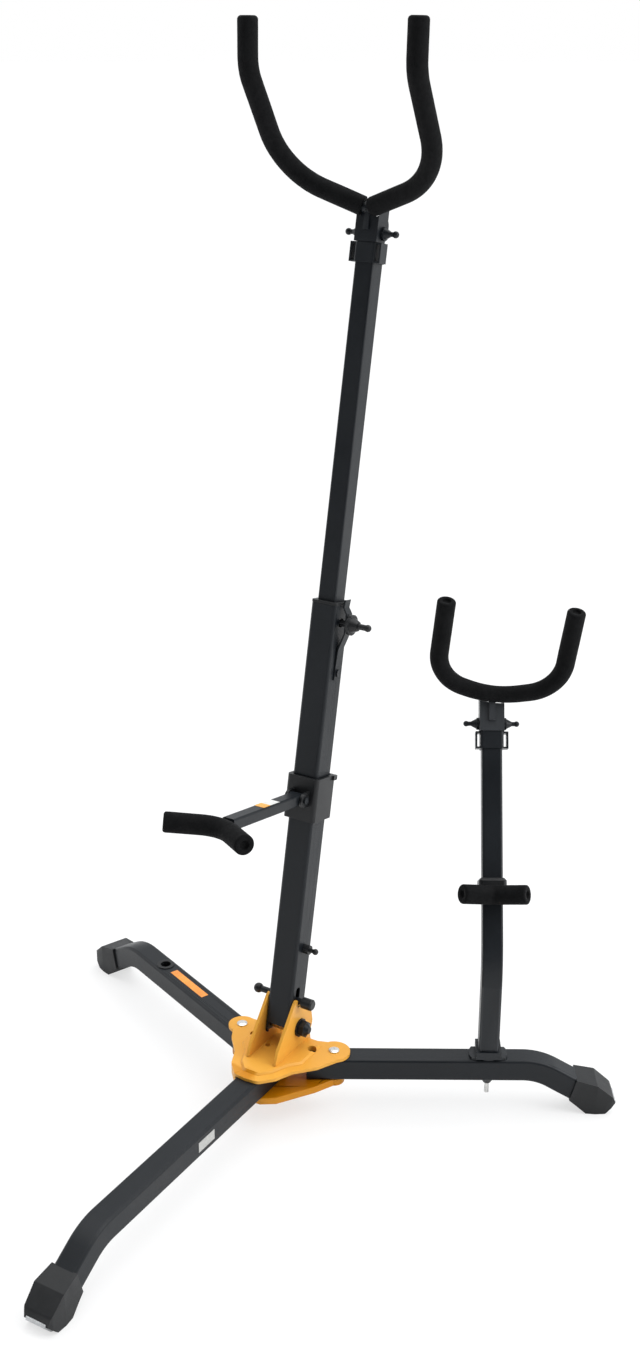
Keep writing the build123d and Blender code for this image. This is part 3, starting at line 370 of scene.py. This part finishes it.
# ------------------------------------------------------------------ foam sleeves
def fillet_path(pts, radii, step=1.6):
    """Samples along straight runs joined by arcs, as the CAD route has them."""
    pts = [Vector(p) for p in pts]
    out = []

    def run(a, b):
        n = max(1, int((b - a).length / step))
        for i in range(n):
            out.append(a.lerp(b, i / n))

    cur = pts[0]
    for i in range(1, len(pts) - 1):
        p, r = pts[i], radii[i - 1]
        u = (pts[i - 1] - p).normalized()
        v = (pts[i + 1] - p).normalized()
        ang = u.angle(v)
        d = r / tan(ang / 2)
        a, b = p + u * d, p + v * d
        c = p + (u + v).normalized() * (r / sin(ang / 2))
        run(cur, a)
        ra, rb = a - c, b - c
        tot = ra.angle(rb)
        k = max(4, int(r * tot / step))
        for j in range(k):
            t = j / k
            out.append(c + (ra * sin((1 - t) * tot) + rb * sin(t * tot)) / sin(tot))
        cur = b
    run(cur, pts[-1])
    out.append(pts[-1])
    return out


def tangents(path):
    t = []
    for i in range(len(path)):
        a = path[max(0, i - 1)]
        b = path[min(len(path) - 1, i + 1)]
        t.append((b - a).normalized())
    return t


def sleeve(bm, path, r_out, r_in, depth0, depth1, seed, thin=None, segs=48, edge0=1.1, edge1=1.1):
    """A foam tube with rounded cut ends, a bore that goes in by depth at each end, slight lumps, and an optional
    narrowing along its length.
    """
    tan_ = tangents(path)
    ref = Vector((0, 0, 1)) if abs(tan_[0].z) < 0.9 else Vector((1, 0, 0))
    nrm = (ref - tan_[0] * ref.dot(tan_[0])).normalized()
    frames = []
    for i, t in enumerate(tan_):
        nrm = (nrm - t * nrm.dot(t)).normalized()
        frames.append((path[i], nrm.copy(), t.cross(nrm).normalized(), t))

    def ring(center, n, b, t, rad, amp):
        vs = []
        for j in range(segs):
            a = 2 * pi * j / segs
            d = n * cos(a) + b * sin(a)
            r = rad
            if amp:
                q = center * 0.020 + d * 0.35 + Vector((seed, 0, 0))
                r += amp * (noise.noise(q) + 0.55 * noise.noise(q * 3.1) + 0.35 * noise.noise((center + d * r) * 0.33))
            vs.append(bm.verts.new(center + d * r))
        return vs

    rings = []
    f0, f1 = frames[0], frames[-1]
    s0 = 1.0 if thin is None else thin(0.0)
    s1 = 1.0 if thin is None else thin(1.0)
    r0, r1 = r_out * s0, r_out * s1
    rings.append(ring(f0[0] + f0[3] * depth0, f0[1], f0[2], f0[3], r_in, 0))
    rings.append(ring(f0[0] + f0[3] * 0.5, f0[1], f0[2], f0[3], r_in + 0.1, 0.06))
    rings.append(ring(f0[0] + f0[3] * 0.05, f0[1], f0[2], f0[3], r_in + 0.55, 0.08))
    rings.append(ring(f0[0], f0[1], f0[2], f0[3], (r_in + r0) / 2, 0.05))
    for a in (0, 20, 40, 60, 80, 90):
        rings.append(ring(f0[0] + f0[3] * edge0 * (1 - cos(radians(a))), f0[1], f0[2], f0[3], r0 - edge0 * (1 - sin(radians(a))), 0.07))
    n = len(frames)
    for i in range(1, n - 1):
        f = frames[i]
        if (f[0] - f0[0]).length < edge0 + 0.6 or (f[0] - f1[0]).length < edge1 + 0.6:
            continue
        k = 1.0 if thin is None else thin(i / (n - 1))
        rings.append(ring(f[0], f[1], f[2], f[3], r_out * k, 0.11))
    for a in (90, 80, 60, 40, 20, 0):
        rings.append(ring(f1[0] - f1[3] * edge1 * (1 - cos(radians(a))), f1[1], f1[2], f1[3], r1 - edge1 * (1 - sin(radians(a))), 0.07))
    rings.append(ring(f1[0], f1[1], f1[2], f1[3], (r_in + r1) / 2, 0.05))
    rings.append(ring(f1[0] - f1[3] * 0.05, f1[1], f1[2], f1[3], r_in + 0.55, 0.08))
    rings.append(ring(f1[0] - f1[3] * 0.5, f1[1], f1[2], f1[3], r_in + 0.1, 0.06))
    rings.append(ring(f1[0] - f1[3] * depth1, f1[1], f1[2], f1[3], r_in, 0))
    for a, b in zip(rings, rings[1:]):
        for j in range(segs):
            k = (j + 1) % segs
            bm.faces.new((a[j], a[k], b[k], b[j]))
    for end, centre in ((rings[0], 1), (rings[-1], 0)):
        c = bm.verts.new(sum((v.co for v in end), Vector()) / segs)
        for j in range(segs):
            k = (j + 1) % segs
            bm.faces.new((end[j], c, end[k]) if centre else (end[k], c, end[j]))


def foam_piece(name, node, body, tubes):
    bm = bmesh.new()
    for kw in tubes:
        sleeve(bm, **kw)
    bmesh.ops.recalc_face_normals(bm, faces=bm.faces[:])
    bmesh.ops.transform(bm, matrix=TO_ROW, verts=bm.verts[:])
    me = bpy.data.meshes.new(name)
    bm.to_mesh(me)
    bm.free()
    for p in me.polygons:
        p.use_smooth = True
    o = bpy.data.objects.new(name, me)
    coll.objects.link(o)
    me.materials.append(MATS["black_foam"])
    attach(o, body)
    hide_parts(node)
    return o


def map_pts(mat, pts):
    return [mat @ Vector(p) for p in pts]


# big yoke
def to_mast(up, side, q):
    g = radians(up + 12.0)
    return Vector((side, -q * sin(g), q * cos(g)))


def big_yoke_pts(s, inner):
    v0 = Vector((0, -10.7, 748.9))
    p1 = to_mast(30.2, s * 75.9, 33.3) + v0
    p2 = to_mast(30.2, s * 78.6, 129.4) + v0
    p3 = to_mast(-1.8, 0, 41.5) + Vector((s * 78.9, p2.y, p2.z))
    return [v0 + (p1 - v0).normalized() * inner, p1, p2, p3]


tubes = []
for i, s in enumerate((-1, 1)):
    p = fillet_path(map_pts(MAST, big_yoke_pts(s, 5.0)), [62.0, 38.0])
    tubes.append(dict(path=p, r_out=8.6, r_in=4.5, depth0=1.5, depth1=2.8, seed=3.0 + 5 * i, edge0=1.0, edge1=3.0))
foam_piece("yoke_foam_sleeves", "yoke_foam", "yoke", tubes)

# main fork
h = radians(56.0)
a = Vector((0, -121.0, 0))
fl = a + Vector((-sin(h), -cos(h), 0)) * 50.1
fr = a + Vector((sin(h), -cos(h), 0)) * 50.1
tubes = [dict(path=fillet_path(map_pts(ARMF, [fl, a, fr]), [28.0], 1.2), r_out=9.0, r_in=4.0, depth0=2.5, depth1=2.5, seed=17.0, edge0=2.4, edge1=1.8)]
foam_piece("fork_foam_sleeve", "fork_foam", "arm", tubes)

# small fork
h = radians(63.0)
a = Vector((0, -17.5, 0))
fl = a + Vector((-sin(h), -cos(h), 0)) * 33.6
fr = a + Vector((sin(h), -cos(h), 0)) * 33.6
tubes = [dict(path=fillet_path(map_pts(SFK, [fl, a, fr]), [12.0], 1.2), r_out=9.0, r_in=3.6, depth0=2.5, depth1=2.5, seed=29.0, edge0=1.8, edge1=1.8)]
foam_piece("small_fork_foam_sleeve", "small_fork_foam", "small_rest", tubes)


# small yoke
def s_off(side, q):
    g = radians(12.0) + SM_LEAN
    return Vector((side, -q * sin(g), q * cos(g)))


sv0 = Vector((0, -12.1, 24.0))
pts = [s_off(-46.5, 105.2) + sv0, s_off(-53.4, 22.0) + sv0, sv0, s_off(62.6, 9.7) + sv0, s_off(71.7, 94.4) + sv0]
tubes = [dict(path=fillet_path(map_pts(ST, pts), [37.0, 95.0, 37.0], 1.5), r_out=8.7, r_in=4.0, depth0=2.3, depth1=2.3, seed=41.0, edge0=2.2, edge1=2.2,
              thin=lambda t: 1.0 - 0.10 * max(0.0, 1.0 - abs(t - 0.5) * 4.0))]
foam_piece("small_yoke_foam_sleeve", "small_yoke_foam", "small_yoke", tubes)

# ------------------------------------------------------------------ floor, light, camera
floor_mesh = bpy.data.meshes.new("floor")
bm = bmesh.new()
bmesh.ops.create_circle(bm, cap_ends=True, segments=96, radius=40.0)
bm.to_mesh(floor_mesh)
bm.free()
floor = bpy.data.objects.new("floor", floor_mesh)
floor.location = (0, 0, -0.0005)
coll.objects.link(floor)
fm, nt, b, tc = new_mat("floor_paint")
fn = tex_noise(nt, tc, 3.0, 3.0, 0.5)
nt.links.new(ramp(nt, fn, [(0.3, (0.88, 0.88, 0.88)), (0.7, (0.91, 0.91, 0.91))]), b.inputs["Base Color"])
b.inputs["Roughness"].default_value = 0.75
b.inputs["Specular IOR Level"].default_value = 0.2
glow = nt.nodes.new("ShaderNodeEmission")
glow.inputs["Color"].default_value = (1.0, 1.0, 1.0, 1.0)
glow.inputs["Strength"].default_value = 1.0
flp = nt.nodes.new("ShaderNodeLightPath")
fmix = nt.nodes.new("ShaderNodeMixShader")
nt.links.new(math(nt, "MULTIPLY", flp.outputs["Is Camera Ray"], 0.65), fmix.inputs["Fac"])
nt.links.new(b.outputs["BSDF"], fmix.inputs[1])
nt.links.new(glow.outputs["Emission"], fmix.inputs[2])
fout = [n for n in nt.nodes if n.type == "OUTPUT_MATERIAL"][0]
nt.links.new(fmix.outputs["Shader"], fout.inputs["Surface"])
floor_mesh.materials.append(fm)

w = bpy.data.worlds.new("studio")
scene.world = w
w.use_nodes = True
nt = w.node_tree
for n in list(nt.nodes):
    nt.nodes.remove(n)
out = nt.nodes.new("ShaderNodeOutputWorld")
bg = nt.nodes.new("ShaderNodeBackground")
seen = nt.nodes.new("ShaderNodeBackground")
mixs = nt.nodes.new("ShaderNodeMixShader")
lp = nt.nodes.new("ShaderNodeLightPath")
tc = nt.nodes.new("ShaderNodeTexCoord")
sep = nt.nodes.new("ShaderNodeSeparateXYZ")
nt.links.new(tc.outputs["Generated"], sep.inputs["Vector"])
front = rng(nt, sep.outputs["Y"], 0.10, 0.85, -0.8, 0.6)
side = rng(nt, sep.outputs["X"], -0.05, 0.25, -1.0, 1.0)
nt.links.new(math(nt, "MAXIMUM", math(nt, "ADD", front, side), 0.06), bg.inputs["Strength"])
bg.inputs["Color"].default_value = (0.96, 0.98, 1.0, 1.0)
seen.inputs["Color"].default_value = (1.0, 1.0, 1.0, 1.0)
seen.inputs["Strength"].default_value = 1.0
nt.links.new(lp.outputs["Is Camera Ray"], mixs.inputs["Fac"])
nt.links.new(bg.outputs["Background"], mixs.inputs[1])
nt.links.new(seen.outputs["Background"], mixs.inputs[2])
nt.links.new(mixs.outputs["Shader"], out.inputs["Surface"])


def area(name, loc, target, size, power, size_y=None):
    l = bpy.data.lights.new(name, "AREA")
    l.shape = "RECTANGLE"
    l.size = size
    l.size_y = size_y or size
    l.energy = power
    o = bpy.data.objects.new(name, l)
    coll.objects.link(o)
    d = Vector(target) - Vector(loc)
    o.location = loc
    o.rotation_euler = d.to_track_quat("-Z", "Y").to_euler()
    return o


area("key_right", (2.4, -0.5, 1.5), (0, 0, 0.40), 1.4, 42.0, 2.2)
area("rim_left", (-2.3, 0.9, 1.4), (0, 0, 0.5), 1.0, 12.0, 1.8)
sun = bpy.data.lights.new("soft_top", "SUN")
sun.energy = 2.1
sun.angle = radians(70.0)
sun_o = bpy.data.objects.new("soft_top", sun)
coll.objects.link(sun_o)
sun_o.rotation_euler = (radians(-6.0), radians(8.0), 0.0)

cam = bpy.data.cameras.new("camera")
cam_o = bpy.data.objects.new("camera", cam)
coll.objects.link(cam_o)
cam.sensor_fit = "VERTICAL"
cam.sensor_height = 36.0
cam.lens = 44.18
cam.shift_x = 0.0017
cam.clip_start = 0.05
cam.clip_end = 100.0
yaw, pitch = radians(-0.98), radians(21.65)
fw = Vector((sin(yaw) * cos(pitch), cos(yaw) * cos(pitch), -sin(pitch)))
rt = Vector((cos(yaw), -sin(yaw), 0.0))
upv = rt.cross(fw)
rot = Matrix((rt, upv, -fw)).transposed().to_4x4()
loc = (Vector((62.69, -1321.29, 967.49)) - SHIFT) * MM
cam_o.matrix_world = Matrix.Translation(loc) @ rot
scene.camera = cam_o
scene.view_settings.view_transform = "Standard"
scene.view_settings.look = "None"
